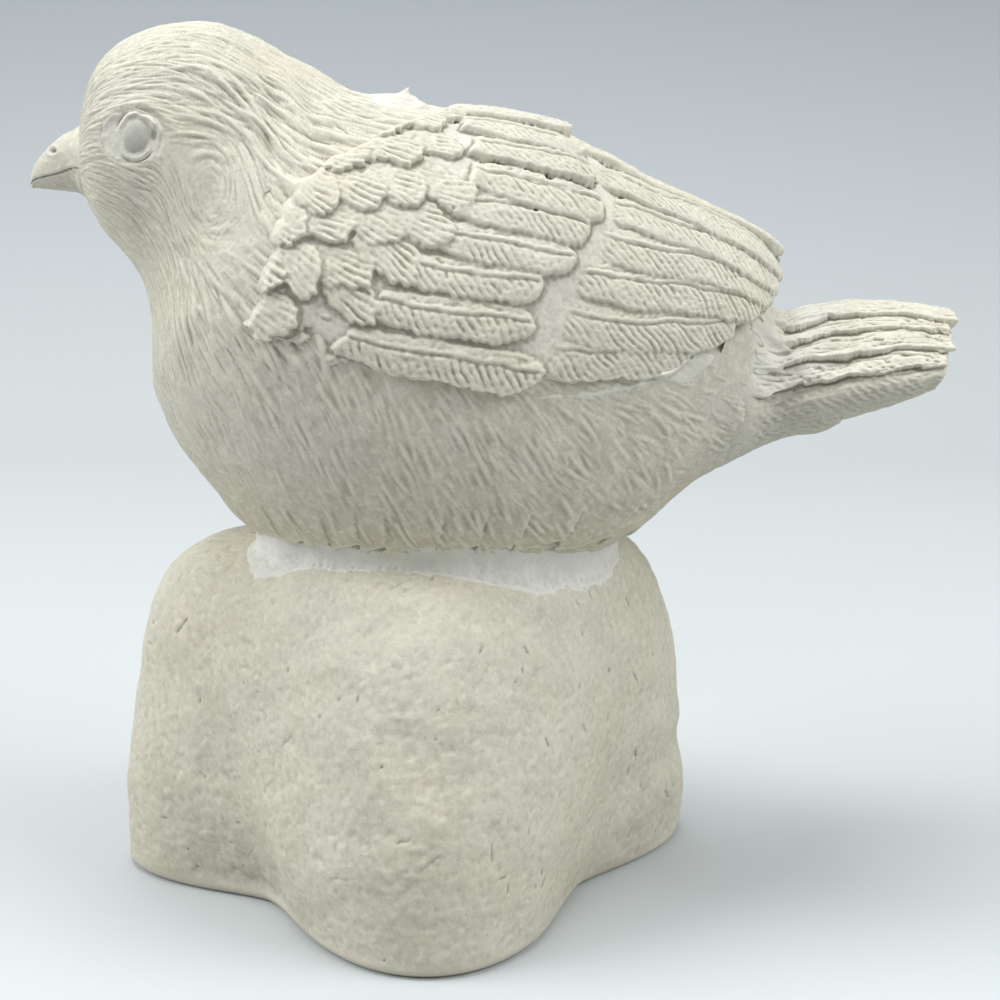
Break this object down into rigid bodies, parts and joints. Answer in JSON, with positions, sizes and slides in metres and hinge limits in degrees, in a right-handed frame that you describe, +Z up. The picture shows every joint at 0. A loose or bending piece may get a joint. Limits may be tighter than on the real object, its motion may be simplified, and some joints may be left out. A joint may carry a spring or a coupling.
{
  "type": "resin bird figurine",
  "caption": "Plump songbird in pale unpainted resin resting on a smooth boulder, with layered wing feathers, a straight tail and white filler in its seams.",
  "frame": {"origin": "centre of the boulder's resting face", "axes": "+Z up; -X towards the beak, +X towards the tail; -Y to the bird's left, the side the picture shows"},
  "size_m": [0.1513, 0.0829, 0.1441],
  "materials": {
    "rock_resin": "pale stone-coloured cast resin, matt, finely dented",
    "body_resin": "pale cast resin, matt, with tooled feather strokes",
    "wing_resin": "pale cast resin, matt, with barbed feathers",
    "tail_resin": "pale cast resin, matt, with barbed feathers",
    "beak_resin": "pale cast resin, matt, smooth",
    "eye_resin": "pale grey cast resin, smooth",
    "filler": "white filler paste, matt, worked by hand",
    "pin_steel": "bare steel"
  },
  "bodies": {
    "root": {"rock_base": "rock_resin", "bird_body": "body_resin", "left_wing": "wing_resin", "right_wing": "wing_resin", "tail": "tail_resin", "beak": "beak_resin", "left_eye": "eye_resin", "right_eye": "eye_resin", "left_eye_filler": "filler", "right_eye_filler": "filler", "belly_filler": "filler", "nape_filler": "filler", "tail_filler": "filler", "left_wing_filler": "filler", "right_wing_filler": "filler", "front_pin": "pin_steel", "rear_pin": "pin_steel"}
  },
  "joints": []
}
